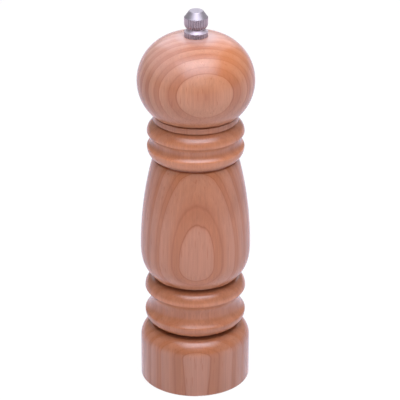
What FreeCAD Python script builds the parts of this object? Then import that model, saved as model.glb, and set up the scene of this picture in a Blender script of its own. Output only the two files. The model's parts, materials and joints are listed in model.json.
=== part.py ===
import FreeCAD
import Part
import Sketcher
import math
import os
import re

# Pepper mill of turned wood, with a knurled nut on top that sets the grind.
# Millimetres, +Z up, origin at the middle of the foot's underside.

doc = FreeCAD.newDocument("PepperMill")

# Driving dimensions
SIZES = {
    # Foot and its domed shoulder
    "foot_radius": 28.5,
    "foot_edge": 0.5,
    "foot_height": 31.5,
    "shoulder_curve": 9,
    "shoulder_turn": 67,
    # Narrow grooves that part the foot, the bands and the bulb
    "groove_width": 1.2,
    "groove_lip": 0.5,
    "low_groove_radius": 20.4,
    "mid_groove_radius": 20.2,
    "high_groove_radius": 20.8,
    # Lower band: two beads with a cove between them
    "low_bead_radius": 26.15,
    "bead_1_root": 23,
    "bead_2_root": 21.7,
    "low_edge_curve": 1.2,
    "low_cove_radius": 23.25,
    "low_cove_angle": 45.6,
    "bead_1_flank": 5.3,
    "bead_2_flank": 5.84,
    # Bulb
    "belly_radius": 28.35,
    "belly_curve": 33,
    "belly_turn": 9.8,
    "base_curve": 18.6,
    "base_turn": 43.4,
    "taper_curve": 196,
    "taper_turn": 13.39,
    "neck_curve": 21.4,
    "neck_turn": 24.6,
    # Upper band and the plain collar above it
    "high_bead_radius": 24.85,
    "bead_3_root": 23.2,
    "high_edge_curve": 1.2,
    "high_cove_radius": 22.85,
    "high_cove_angle": 52.1,
    "bead_3_flank": 4.5,
    "bead_4_edge": 5,
    "bead_4_turn": 37,
    "bead_4_slope": 10.53,
    "bead_4_root_turn": 60.36,
    "collar_radius": 21.8,
    "collar_height": 3.9,
    "collar_chamfer": 0.9,
    "wood_edge": 0.4,
    # Head
    "seam_gap": 1,
    "head_radius": 29.8,
    "head_curve": 23.55,
    "head_base_turn": 44.7,
    "head_seat_radius": 6.6,
    "tenon_length": 12,
    "tenon_clearance": 0.3,
    "tenon_chamfer": 0.8,
    "head_hole_radius": 4.6,
    # Chamber
    "bore_radius": 13.5,
    "mouth_chamfer": 0.8,
    # Clearances
    "fit_gap": 0.3,
    "part_gap": 0.1,
    "running_gap": 0.1,
    "shaft_clearance": 0.06,
    # Knurled nut
    "nut_radius": 6,
    "nut_height": 13.2,
    "nut_flange_radius": 6,
    "nut_flange_height": 2.3,
    "nut_flange_rise": 1.5,
    "nut_flange_curve": 6,
    "nut_neck_radius": 4.3,
    "nut_neck_height": 0.2,
    "nut_curve": 3,
    "nut_top_radius": 3.7,
    "nut_cone_height": 3.05,
    "nut_rim": 0.35,
    "nut_edge": 0.25,
    "nut_hole_depth": 9.2,
    "knurl_count": 36,
    "knurl_depth": 0.4,
    "knurl_width": 0.76,
    # Bush in the top of the head
    "head_bush_radius": 4.0,
    "head_bush_length": 9,
    "head_bush_flange_radius": 5.4,
    "head_bush_flange": 0.8,
    # Drive shaft
    "shaft_side": 6.0,
    "shaft_chamfer": 0.4,
    "thread_radius": 2.5,
    "thread_pitch": 0.8,
    "thread_depth": 0.45,
    "thread_crest": 0.08,
    "thread_length": 14,
    "thread_reach": 7.8,
    "square_rise": 13,
    "shaft_tip": 0.6,
    "shaft_end_level": 2.6,
    "shaft_end_radius": 2.5,
    "clip_groove_radius": 2.0,
    "clip_offset": 1.0,
    # Clip and washer under the hub
    "clip_thickness": 0.8,
    "clip_radius": 4.6,
    "clip_mouth": 3.0,
    "hub_washer_thickness": 1.0,
    "hub_washer_radius": 6.5,
    # Hub and grinding cone
    "hub_flange": 2.0,
    "hub_flange_radius": 9.0,
    "hub_flats": 10.6,
    "hub_rise": 1.2,
    "cone_height": 12,
    "cone_band_height": 4,
    "cone_radius": 13.0,
    "cone_waist_radius": 11.0,
    "cone_top_radius": 7.8,
    "cone_flutes": 8,
    "cone_flute_width": 2.4,
    "cone_flute_depth": 1.3,
    "cone_flute_slant": 0.45,
    "cone_teeth": 30,
    "cone_tooth_depth": 0.9,
    "cone_tooth_width": 0.9,
    "cone_tooth_slant": 0.3,
    # Grinding ring
    "burr_gap": 0.4,
    "ring_radius": 16.5,
    "ring_height": 12,
    "ring_mouth_radius": 13.2,
    "ring_flutes": 12,
    "ring_flute_width": 2.0,
    "ring_flute_depth": 1.0,
    "ring_teeth": 36,
    "ring_tooth_depth": 0.8,
    "ring_tooth_width": 0.8,
    "key_count": 3,
    "key_width": 2.4,
    "key_depth": 1.0,
    "key_height": 3.0,
    # Snap ring
    "snap_depth": 4.0,
    "snap_thickness": 0.9,
    "snap_groove_depth": 0.7,
    "snap_inner_radius": 15.0,
    "snap_mouth": 6,
    # Grinder housing
    "foot_recess": 0.6,
    "flange_radius": 24.7,
    "flange_thickness": 2.5,
    "barrel_radius": 18.7,
    "barrel_height": 16.9,
    "throat_radius": 15.7,
    "throat_height": 14,
    # Bridge across the throat
    "bridge_radius": 14.6,
    "bridge_thickness": 4,
    "bridge_hub_radius": 7.3,
    "arm_count": 3,
    "arm_width": 3,
    # Guide bush in the bridge's hub
    "guide_radius": 5.5,
    "guide_flange_radius": 6.8,
    "guide_flange": 1.0,
    # Spring and its washers
    "spring_washer_radius": 6.5,
    "spring_washer_thickness": 0.8,
    "spring_radius": 5.2,
    "spring_wire": 0.8,
    "spring_turns": 4,
    "spring_seat_gap": 0.05,
    # Drive plate
    "drive_plate_radius": 12.4,
    "drive_plate_thickness": 2.0,
    # Screws
    "screw_radius": 1.3,
    "screw_length": 10,
    "screw_head_radius": 2.2,
    "screw_head_height": 1.2,
    "screw_slot_width": 0.7,
    "screw_slot_depth": 0.6,
    "screw_hole_gap": 0.05,
    "plate_screw_circle": 8.6,
    "plate_screw_count": 2,
    "housing_screw_circle": 21.9,
    "housing_screw_count": 3,
}

# Heights and radii that follow from the driving dimensions
LEVELS = {
    "lip": "groove_width / 2 + groove_lip",
    "low_groove": "foot_height",
    "shoulder_end": "low_groove - lip",
    "shoulder_end_radius": "foot_radius - shoulder_curve * (1 - cos(shoulder_turn))",
    "foot_wall_top": "shoulder_end - shoulder_curve * sin(shoulder_turn)",
    "crest_1": "low_groove + lip + bead_1_flank",
    "low_cove_curve": "(low_bead_radius - low_cove_radius) / (1 - cos(low_cove_angle)) - low_edge_curve",
    "crest_2": "crest_1 + 2 * (low_edge_curve + low_cove_curve) * sin(low_cove_angle)",
    "mid_groove": "crest_2 + bead_2_flank + lip",
    "bulb_base": "mid_groove + lip",
    "belly_foot": "bulb_base + base_curve * (sin(base_turn) - sin(belly_turn))",
    "belly_foot_radius": "belly_radius - belly_curve * (1 - cos(belly_turn))",
    "bulb_base_radius": "belly_foot_radius - base_curve * (cos(belly_turn) - cos(base_turn))",
    "belly": "belly_foot + belly_curve * sin(belly_turn)",
    "neck": "belly + taper_curve * sin(taper_turn)",
    "neck_radius": "belly_radius - taper_curve * (1 - cos(taper_turn))",
    "bulb_top": "neck + neck_curve * (sin(neck_turn) - sin(taper_turn))",
    "bulb_top_radius": "neck_radius - neck_curve * (cos(taper_turn) - cos(neck_turn))",
    "high_groove": "bulb_top + lip",
    "crest_3": "high_groove + lip + bead_3_flank",
    "high_cove_curve": "(high_bead_radius - high_cove_radius) / (1 - cos(high_cove_angle)) - high_edge_curve",
    "crest_4": "crest_3 + 2 * (high_edge_curve + high_cove_curve) * sin(high_cove_angle)",
    "bead_4_bend": "crest_4 + bead_4_edge * sin(bead_4_turn)",
    "bead_4_bend_radius": "high_bead_radius - bead_4_edge * (1 - cos(bead_4_turn))",
    "bead_4_root": "bead_4_bend_radius - bead_4_slope * (cos(bead_4_turn) - cos(bead_4_root_turn))",
    "collar": "bead_4_bend + bead_4_slope * (sin(bead_4_root_turn) - sin(bead_4_turn))",
    "body_top": "collar + collar_height",
    "head_base": "body_top + seam_gap",
    "head_axis": "head_radius - head_curve",
    "head_base_radius": "head_axis + head_curve * cos(head_base_turn)",
    "head_middle": "head_base + head_curve * sin(head_base_turn)",
    "head_top": "head_middle + sqrt(head_curve ^ 2 - (head_seat_radius - head_axis) ^ 2)",
    "tenon_radius": "bore_radius - tenon_clearance",
    "tenon_end": "head_base - tenon_length",
    "plate_base": "tenon_end - drive_plate_thickness",
    "nut_base": "head_top + running_gap",
    "nut_top": "nut_base + nut_height",
    "nut_neck": "nut_base + nut_flange_height + nut_flange_rise",
    "knurl_base": "nut_neck + nut_neck_height",
    "knurl_bend": "knurl_base + sqrt(nut_curve ^ 2 - (nut_curve - nut_radius + nut_neck_radius) ^ 2)",
    "nut_cone": "nut_top - nut_cone_height",
    "shaft_hole_radius": "thread_radius + shaft_clearance",
    "shaft_corner": "sqrt((shaft_side / 2) ^ 2 + (shaft_side / 2 - shaft_chamfer) ^ 2)",
    "square_hole": "shaft_side + 2 * shaft_clearance",
    "shaft_top": "nut_base + thread_reach",
    "square_top": "tenon_end + square_rise",
    "clip_base": "shaft_end_level + clip_offset",
    "clip_top": "clip_base + clip_thickness",
    "hub_base": "clip_top + hub_washer_thickness",
    "cone_base": "hub_base + hub_flange",
    "cone_waist": "cone_base + cone_band_height",
    "cone_top": "cone_base + cone_height",
    "cone_slope": "(cone_radius - cone_waist_radius) / cone_band_height",
    "hub_top": "cone_top + hub_rise",
    "flange_top": "foot_recess + flange_thickness",
    "barrel_top": "flange_top + barrel_height",
    "throat_top": "barrel_top + throat_height",
    "ring_bore": "ring_radius + part_gap",
    "snap_base": "foot_recess + snap_depth",
    "ring_base": "snap_base + snap_thickness + part_gap",
    "ring_top": "ring_base + ring_height",
    "ring_foot_radius": "cone_radius + burr_gap + cone_slope * (cone_base - ring_base)",
    "ring_waist_radius": "cone_waist_radius + burr_gap",
    "bridge_base": "throat_top - bridge_thickness",
    "upper_washer_top": "bridge_base - guide_flange - running_gap",
    "upper_washer_base": "upper_washer_top - spring_washer_thickness",
    "lower_washer_top": "hub_top + spring_washer_thickness",
}

ROUND = 1
HOLLOW = -1
OUTER = 1
INNER = -1
FULL_TURN = 360
QUARTERS = 4


def new_sheet(name, cells, prefix):
    """Fill a sheet with one named cell per entry: the name beside its number or formula."""
    sheet = doc.addObject("Spreadsheet::Sheet", name)
    for row, (alias, content) in enumerate(cells.items(), start=1):
        sheet.set(f"A{row}", alias)
        sheet.set(f"B{row}", prefix + str(content))
        sheet.setAlias(f"B{row}", alias)
    doc.recompute()
    return sheet


def bound(text):
    """Put the sheet's name before each size or level in an expression."""
    def with_sheet(match):
        word = match.group()
        if word in SIZES:
            return "Sizes." + word
        if word in LEVELS:
            return "Levels." + word
        return word
    return re.sub(r"[a-z]\w*", with_sheet, text)


sizes = new_sheet("Sizes", SIZES, "")
levels = new_sheet("Levels", {name: bound(text) for name, text in LEVELS.items()}, "=")


def value(text):
    """The number that an expression gives now."""
    result = sizes.evalExpression(bound(text))
    return getattr(result, "Value", result)


def new_body(label):
    body = doc.addObject("PartDesign::Body", label)
    body.Label = label
    return body


def new_sketch(body, name, role, level="0"):
    """A sketch on one of the body's own planes, raised to a level."""
    sketch = body.newObject("Sketcher::SketchObject", f"{body.Name}_{name}_sketch")
    plane = [item for item in body.Origin.OriginFeatures if item.Role == role][0]
    sketch.AttachmentSupport = (plane, [""])
    sketch.MapMode = "FlatFace"
    sketch.setExpression("AttachmentOffset.Base.z", bound(level))
    return sketch


def tie(sketch, kind, places, text):
    """Add a dimension whose value follows an expression."""
    index = sketch.addConstraint(Sketcher.Constraint(kind, *places, value(text)))
    sketch.setExpression(f"Constraints[{index}]", bound(text))


def place_point(sketch, edge, point, x_text, y_text):
    """Fix a point at its distances from the sketch's two axes."""
    for text, kind, axis in ((x_text, "DistanceX", -2), (y_text, "DistanceY", -1)):
        if text == "0":
            sketch.addConstraint(Sketcher.Constraint("PointOnObject", edge, point, axis))
        else:
            tie(sketch, kind, (-1, 1, edge, point), text)


def arc_between(start, finish, radius, side):
    """The arc from start to finish whose centre lies left (ROUND) or right (HOLLOW) of the way."""
    half = (finish - start) * 0.5
    left = FreeCAD.Vector(-half.y, half.x, 0).normalize()
    centre = start + half + left * side * math.sqrt(radius ** 2 - half.Length ** 2)
    circle = Part.Circle(centre, FreeCAD.Vector(0, 0, 1), radius)
    angles = [math.atan2(point.y - centre.y, point.x - centre.x) for point in (start, finish)]
    return Part.ArcOfCircle(circle, *angles[::side])


def draw_outline(sketch, steps):
    """Draw a closed outline, anticlockwise. A step (x, y) is reached by a straight line,
    a step (x, y, radius, side) by an arc."""
    corners = [FreeCAD.Vector(value(step[0]), value(step[1]), 0) for step in steps]
    ends = []
    for index, step in enumerate(steps):
        start = corners[index - 1]
        finish = corners[index]
        if len(step) == 2:
            edge = sketch.addGeometry(Part.LineSegment(start, finish))
            ends.append((edge, 1, 2))
        else:
            edge = sketch.addGeometry(arc_between(start, finish, value(step[2]), step[3]))
            ends.append((edge, 1, 2) if step[3] == ROUND else (edge, 2, 1))
    for index, step in enumerate(steps):
        edge, first, last = ends[index - 1]
        follower, head, tail = ends[index]
        sketch.addConstraint(Sketcher.Constraint("Coincident", edge, last, follower, head))
        place_point(sketch, follower, tail, step[0], step[1])
        if len(step) == 4:
            tie(sketch, "Radius", (follower,), step[2])


def draw_circle(sketch, radius, x_text="0", y_text="0"):
    centre = FreeCAD.Vector(value(x_text), value(y_text), 0)
    edge = sketch.addGeometry(Part.Circle(centre, FreeCAD.Vector(0, 0, 1), value(radius)))
    place_point(sketch, edge, 3, x_text, y_text)
    tie(sketch, "Radius", (edge,), radius)


def draw_rectangle(sketch, x_low, x_high, y_half):
    """A rectangle from x_low to x_high, even about the x axis."""
    low = f"-({y_half})"
    draw_outline(sketch, [(x_low, low), (x_high, low), (x_high, y_half), (x_low, y_half)])


def draw_square(sketch, side):
    draw_rectangle(sketch, f"-({side}) / 2", f"({side}) / 2", f"({side}) / 2")


def draw_hexagon(sketch, flats):
    """A six-sided outline of a given width across its flats."""
    corner = f"({flats}) / sqrt(3)"
    half = f"({flats}) / 2"
    draw_outline(sketch, [
        (corner, "0"), (f"{corner} / 2", half), (f"-{corner} / 2", half),
        (f"-{corner}", "0"), (f"-{corner} / 2", f"-{half}"), (f"{corner} / 2", f"-{half}"),
    ])


def draw_notch(sketch, side, radius, depth, width, level="0"):
    """A V into an outer or inner round face: its tip lies a depth behind the face and its mouth as
    far before it, with a width on each side of the level."""
    tip = f"{radius} - {side} * {depth}"
    mouth = f"{radius} + {side} * {depth}"
    draw_outline(sketch, [(tip, level), (mouth, f"{level} - ({width})"), (mouth, f"{level} + ({width})")])


def revolve(body, name, steps):
    """Turn an outline of (radius, height) steps about the mill's axis."""
    sketch = new_sketch(body, name, "XZ_Plane")
    draw_outline(sketch, steps)
    feature = body.newObject("PartDesign::Revolution", f"{body.Name}_{name}")
    feature.Profile = sketch
    feature.ReferenceAxis = (sketch, ["V_Axis"])
    feature.Angle = FULL_TURN
    doc.recompute()
    return feature


def pad(body, name, sketch, length):
    """Raise a sketch upwards by a length."""
    feature = body.newObject("PartDesign::Pad", f"{body.Name}_{name}")
    feature.Profile = sketch
    feature.setExpression("Length", bound(length))
    doc.recompute()
    return feature


def pocket(body, name, sketch, length, direction=None):
    """Cut a sketch upwards by a length, or along a slanted direction, and see that it cuts."""
    before = body.Shape.Volume
    feature = body.newObject("PartDesign::Pocket", f"{body.Name}_{name}")
    feature.Profile = sketch
    feature.setExpression("Length", bound(length))
    feature.Reversed = True
    if direction:
        feature.UseCustomVector = True
        for axis, text in zip("xyz", direction):
            feature.setExpression(f"Direction.{axis}", bound(text))
        feature.AlongSketchNormal = True
        feature.Reversed = False
    doc.recompute()
    if body.Shape.Volume > before - 1e-3:
        raise RuntimeError(f"{body.Label}: {name} cuts nothing")
    return feature


def ring_pattern(body, name, feature, count):
    """Repeat a feature evenly around the mill's axis."""
    pattern = body.newObject("PartDesign::PolarPattern", f"{body.Name}_{name}")
    pattern.Originals = [feature]
    axis = [item for item in body.Origin.OriginFeatures if item.Role == "Z_Axis"][0]
    pattern.Axis = (axis, [""])
    pattern.Angle = FULL_TURN
    pattern.setExpression("Occurrences", bound(count))
    body.Tip = pattern
    doc.recompute()
    return pattern


def flank_curve(pair, bead):
    """Radius of an arc that leaves a bead's crest upright and ends at its root."""
    depth = f"({pair}_bead_radius - {bead}_root)"
    height = f"{bead}_flank"
    return f"({depth} ^ 2 + {height} ^ 2) / (2 * {depth})"


def bead_pair(pair, lower, upper):
    """Outline of two beads from crest to crest: a rounded edge, a cove and a rounded edge."""
    edge = f"{pair}_edge_curve"
    angle = f"{pair}_cove_angle"
    lip_radius = f"{pair}_bead_radius - {edge} * (1 - cos({angle}))"
    rise = f"{edge} * sin({angle})"
    return [
        (lip_radius, f"{lower} + {rise}", edge, ROUND),
        (lip_radius, f"{upper} - {rise}", f"{pair}_cove_curve", HOLLOW),
        (f"{pair}_bead_radius", upper, edge, ROUND),
    ]


def groove(radius, level):
    """The floor of a narrow groove."""
    return [(radius, f"{level} - groove_width / 2"), (radius, f"{level} + groove_width / 2")]


def screw_holes(body, name, level, radius, depth, circle, count):
    """Round holes on a circle, cut upwards from a level."""
    sketch = new_sketch(body, name, "XY_Plane", level)
    draw_circle(sketch, radius, circle, "0")
    feature = pocket(body, name, sketch, depth)
    ring_pattern(body, f"{name}_ring", feature, count)


# Turned wooden body: foot, lower band, bulb, upper band and collar, bored from both ends
def make_body():
    body = new_body("body")
    outside = [
        ("flange_radius + fit_gap", "0"),
        ("foot_radius - foot_edge", "0"),
        ("foot_radius", "foot_edge", "foot_edge", ROUND),
        ("foot_radius", "foot_wall_top"),
        ("shoulder_end_radius", "shoulder_end", "shoulder_curve", ROUND),
        *groove("low_groove_radius", "low_groove"),
        ("bead_1_root", "low_groove + lip"),
        ("low_bead_radius", "crest_1", flank_curve("low", "bead_1"), ROUND),
        *bead_pair("low", "crest_1", "crest_2"),
        ("bead_2_root", "mid_groove - lip", flank_curve("low", "bead_2"), ROUND),
        *groove("mid_groove_radius", "mid_groove"),
        ("bulb_base_radius", "bulb_base"),
        ("belly_foot_radius", "belly_foot", "base_curve", ROUND),
        ("belly_radius", "belly", "belly_curve", ROUND),
        ("neck_radius", "neck", "taper_curve", ROUND),
        ("bulb_top_radius", "bulb_top", "neck_curve", ROUND),
        *groove("high_groove_radius", "high_groove"),
        ("bead_3_root", "high_groove + lip"),
        ("high_bead_radius", "crest_3", flank_curve("high", "bead_3"), ROUND),
        *bead_pair("high", "crest_3", "crest_4"),
        ("bead_4_bend_radius", "bead_4_bend", "bead_4_edge", ROUND),
        ("bead_4_root", "collar", "bead_4_slope", ROUND),
        ("collar_radius", "collar + collar_chamfer"),
        ("collar_radius", "body_top - wood_edge"),
        ("collar_radius - wood_edge", "body_top", "wood_edge", ROUND),
    ]
    inside = [
        ("bore_radius + mouth_chamfer", "body_top"),
        ("bore_radius", "body_top - mouth_chamfer"),
        ("bore_radius", "throat_top + fit_gap"),
        ("throat_radius + fit_gap", "throat_top + fit_gap"),
        ("throat_radius + fit_gap", "barrel_top + fit_gap"),
        ("barrel_radius + fit_gap", "barrel_top + fit_gap"),
        ("barrel_radius + fit_gap", "flange_top"),
        ("flange_radius + fit_gap", "flange_top"),
    ]
    revolve(body, "turning", outside + inside)
    screw_holes(body, "pilot", "flange_top", "screw_radius + screw_hole_gap", "screw_length",
                "housing_screw_circle", "housing_screw_count")


# Turned wooden head: a ball with a tenon below, bored for the shaft and the bush
def make_head():
    body = new_body("head")
    revolve(body, "turning", [
        ("head_hole_radius", "tenon_end"),
        ("tenon_radius - tenon_chamfer", "tenon_end"),
        ("tenon_radius", "tenon_end + tenon_chamfer"),
        ("tenon_radius", "head_base"),
        ("head_base_radius", "head_base"),
        ("head_radius", "head_middle", "head_curve", ROUND),
        ("head_seat_radius", "head_top", "head_curve", ROUND),
        ("head_bush_flange_radius + part_gap", "head_top"),
        ("head_bush_flange_radius + part_gap", "head_top - head_bush_flange"),
        ("head_bush_radius + shaft_clearance", "head_top - head_bush_flange"),
        ("head_bush_radius + shaft_clearance", "head_top - head_bush_length"),
        ("head_hole_radius", "head_top - head_bush_length"),
    ])
    screw_holes(body, "pilot", "tenon_end", "screw_radius + screw_hole_gap", "screw_length",
                "plate_screw_circle", "plate_screw_count")


# Flanged bush in the top of the head
def make_head_bush():
    body = new_body("head_bush")
    revolve(body, "turning", [
        ("shaft_hole_radius", "head_top - head_bush_length"),
        ("head_bush_radius", "head_top - head_bush_length"),
        ("head_bush_radius", "head_top - head_bush_flange"),
        ("head_bush_flange_radius", "head_top - head_bush_flange"),
        ("head_bush_flange_radius", "head_top"),
        ("shaft_hole_radius", "head_top"),
    ])


# Knurled nut: flared foot, neck, rounded knurled grip, cone and flat top
def make_adjusting_nut():
    body = new_body("adjusting_nut")
    revolve(body, "turning", [
        ("shaft_hole_radius", "nut_base"),
        ("nut_flange_radius - nut_edge", "nut_base"),
        ("nut_flange_radius", "nut_base + nut_edge", "nut_edge", ROUND),
        ("nut_flange_radius", "nut_base + nut_flange_height"),
        ("nut_neck_radius", "nut_neck", "nut_flange_curve", HOLLOW),
        ("nut_neck_radius", "knurl_base"),
        ("nut_radius", "knurl_bend", "nut_curve", ROUND),
        ("nut_radius", "nut_cone - nut_rim"),
        ("nut_radius - nut_rim", "nut_cone"),
        ("nut_top_radius", "nut_top - nut_edge"),
        ("nut_top_radius - nut_edge", "nut_top"),
        ("0", "nut_top"),
        ("0", "nut_base + nut_hole_depth"),
        ("shaft_hole_radius", "nut_base + nut_hole_depth"),
    ])
    spine = new_sketch(body, "knurl_path", "XZ_Plane")
    start = FreeCAD.Vector(value("nut_radius"), value("nut_cone"), 0)
    bend = FreeCAD.Vector(value("nut_radius"), value("knurl_bend"), 0)
    finish = FreeCAD.Vector(value("nut_neck_radius"), value("knurl_base"), 0)
    spine.addGeometry(Part.LineSegment(start, bend))
    spine.addGeometry(arc_between(bend, finish, value("nut_curve"), HOLLOW))
    spine.addConstraint(Sketcher.Constraint("Coincident", 0, 2, 1, 2))
    place_point(spine, 0, 1, "nut_radius", "nut_cone")
    place_point(spine, 0, 2, "nut_radius", "knurl_bend")
    place_point(spine, 1, 1, "nut_neck_radius", "knurl_base")
    tie(spine, "Radius", (1,), "nut_curve")
    section = new_sketch(body, "knurl_section", "XY_Plane", "nut_cone")
    draw_notch(section, OUTER, "nut_radius", "knurl_depth", "knurl_width")
    knurl = body.newObject("PartDesign::SubtractivePipe", "adjusting_nut_knurl")
    knurl.Profile = section
    knurl.Spine = spine
    doc.recompute()
    ring_pattern(body, "knurl_ring", knurl, "knurl_count")
    notch = new_sketch(body, "rim_section", "XY_Plane", "nut_base")
    draw_notch(notch, OUTER, "nut_flange_radius", "knurl_depth", "knurl_width")
    rim = pocket(body, "rim_notch", notch, "nut_flange_height + knurl_depth")
    ring_pattern(body, "rim_ring", rim, "knurl_count")


# Square shaft with a threaded round end above and a grooved round end below
def make_drive_shaft():
    body = new_body("drive_shaft")
    half = "shaft_side / 2"
    cut = "shaft_side / 2 - shaft_chamfer"
    section = new_sketch(body, "square", "XY_Plane", "hub_base")
    draw_outline(section, [
        (half, f"-({cut})"), (half, cut), (cut, half), (f"-({cut})", half),
        (f"-{half}", cut), (f"-{half}", f"-({cut})"), (f"-({cut})", f"-{half}"), (cut, f"-{half}"),
    ])
    pad(body, "rod", section, "square_top - hub_base")
    revolve(body, "upper_end", [
        ("0", "square_top"),
        ("thread_radius", "square_top"),
        ("thread_radius", "shaft_top - shaft_tip"),
        ("thread_radius - shaft_tip", "shaft_top"),
        ("0", "shaft_top"),
    ])
    revolve(body, "lower_end", [
        ("0", "shaft_end_level"),
        ("shaft_end_radius - shaft_tip", "shaft_end_level"),
        ("shaft_end_radius", "shaft_end_level + shaft_tip"),
        ("shaft_end_radius", "clip_base"),
        ("clip_groove_radius", "clip_base"),
        ("clip_groove_radius", "clip_top"),
        ("shaft_end_radius", "clip_top"),
        ("shaft_end_radius", "hub_base"),
        ("0", "hub_base"),
    ])
    tooth = new_sketch(body, "thread_section", "XZ_Plane")
    draw_notch(tooth, OUTER, "thread_radius", "thread_depth", "thread_pitch - thread_crest",
               "shaft_top - thread_length")
    thread = body.newObject("PartDesign::SubtractiveHelix", "drive_shaft_thread")
    thread.Profile = tooth
    thread.ReferenceAxis = (tooth, ["V_Axis"])
    thread.Mode = 0
    thread.setExpression("Pitch", bound("thread_pitch"))
    thread.setExpression("Height", bound("thread_length + thread_pitch"))
    doc.recompute()


# Square-holed round plate between two levels
def make_square_holed(label, radius, base, thickness):
    body = new_body(label)
    section = new_sketch(body, "plate", "XY_Plane", base)
    draw_circle(section, radius)
    draw_square(section, "square_hole")
    pad(body, "plate", section, thickness)
    return body


# Plate under the tenon that turns the shaft
def make_drive_plate():
    body = make_square_holed("drive_plate", "drive_plate_radius", "plate_base", "drive_plate_thickness")
    screw_holes(body, "holes", "plate_base", "screw_radius + part_gap", "drive_plate_thickness",
                "plate_screw_circle", "plate_screw_count")


# Moulded housing of the grinder: flange, barrel and throat, with a seat for the bridge
def make_grinder_housing():
    body = new_body("grinder_housing")
    groove_radius = "ring_bore + snap_groove_depth"
    revolve(body, "shell", [
        ("ring_bore", "foot_recess"),
        ("flange_radius", "foot_recess"),
        ("flange_radius", "flange_top"),
        ("barrel_radius", "flange_top"),
        ("barrel_radius", "barrel_top"),
        ("throat_radius", "barrel_top"),
        ("throat_radius", "throat_top"),
        ("bridge_radius + part_gap", "throat_top"),
        ("bridge_radius + part_gap", "bridge_base"),
        ("bore_radius", "bridge_base"),
        ("bore_radius", "ring_top"),
        ("ring_bore", "ring_top"),
        ("ring_bore", "ring_base"),
        (groove_radius, "ring_base"),
        (groove_radius, "snap_base"),
        ("ring_bore", "snap_base"),
    ])
    key = new_sketch(body, "key", "XY_Plane", "ring_top - key_height")
    draw_rectangle(key, "ring_radius - key_depth", "(ring_radius + barrel_radius) / 2", "key_width / 2")
    keys = pad(body, "key", key, "key_height")
    ring_pattern(body, "keys", keys, "key_count")
    screw_holes(body, "holes", "foot_recess", "screw_radius + part_gap", "flange_thickness",
                "housing_screw_circle", "housing_screw_count")
    screw_holes(body, "counterbores", "foot_recess", "screw_head_radius + part_gap",
                "screw_head_height + running_gap", "housing_screw_circle", "housing_screw_count")


# Bridge across the throat: a ring, three arms and the hub that carries the guide bush
def make_shaft_bridge():
    body = new_body("shaft_bridge")
    ring = new_sketch(body, "ring", "XY_Plane", "bridge_base")
    draw_circle(ring, "bridge_radius")
    draw_circle(ring, "bore_radius")
    pad(body, "ring", ring, "bridge_thickness")
    arm = new_sketch(body, "arm", "XY_Plane", "bridge_base")
    draw_rectangle(arm, "guide_radius + part_gap", "(bore_radius + bridge_radius) / 2", "arm_width / 2")
    arms = pad(body, "arm", arm, "bridge_thickness")
    ring_pattern(body, "arms", arms, "arm_count")
    hub = new_sketch(body, "hub", "XY_Plane", "bridge_base")
    draw_circle(hub, "bridge_hub_radius")
    pad(body, "hub", hub, "bridge_thickness")
    hole = new_sketch(body, "hub_hole", "XY_Plane", "bridge_base")
    draw_circle(hole, "guide_radius + shaft_clearance")
    pocket(body, "hub_hole", hole, "bridge_thickness")


# Bush in the bridge's hub that guides the shaft
def make_guide_bush():
    body = new_body("guide_bush")
    hole = "shaft_corner + shaft_clearance"
    revolve(body, "turning", [
        (hole, "bridge_base - guide_flange"),
        ("guide_flange_radius", "bridge_base - guide_flange"),
        ("guide_flange_radius", "bridge_base"),
        ("guide_radius", "bridge_base"),
        ("guide_radius", "throat_top"),
        (hole, "throat_top"),
    ])


# Ceramic ring with coarse flutes above and fine teeth below, keyed in the housing
def make_grinding_ring():
    body = new_body("grinding_ring")
    revolve(body, "ring", [
        ("ring_foot_radius", "ring_base"),
        ("ring_radius", "ring_base"),
        ("ring_radius", "ring_top"),
        ("ring_mouth_radius", "ring_top"),
        ("ring_waist_radius", "cone_waist"),
    ])
    flute = new_sketch(body, "flute", "XY_Plane", "ring_top")
    draw_notch(flute, INNER, "ring_mouth_radius", "ring_flute_depth", "ring_flute_width")
    inward = "-(ring_mouth_radius - ring_waist_radius) / (ring_top - cone_waist)"
    flutes = pocket(body, "flute", flute, "ring_top - cone_waist", (inward, "0", "-1"))
    ring_pattern(body, "flutes", flutes, "ring_flutes")
    tooth = new_sketch(body, "tooth", "XY_Plane", "ring_base")
    draw_notch(tooth, INNER, "ring_foot_radius", "ring_tooth_depth", "ring_tooth_width")
    teeth = pocket(body, "tooth", tooth, "cone_waist - ring_base", ("-cone_slope", "0", "1"))
    ring_pattern(body, "teeth", teeth, "ring_teeth")
    key = new_sketch(body, "keyway", "XY_Plane", "ring_top - key_height - part_gap")
    draw_rectangle(key, "ring_radius - key_depth - part_gap", "ring_radius + part_gap",
                   "key_width / 2 + part_gap")
    keyway = pocket(body, "keyway", key, "key_height + part_gap")
    ring_pattern(body, "keyways", keyway, "key_count")


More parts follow.
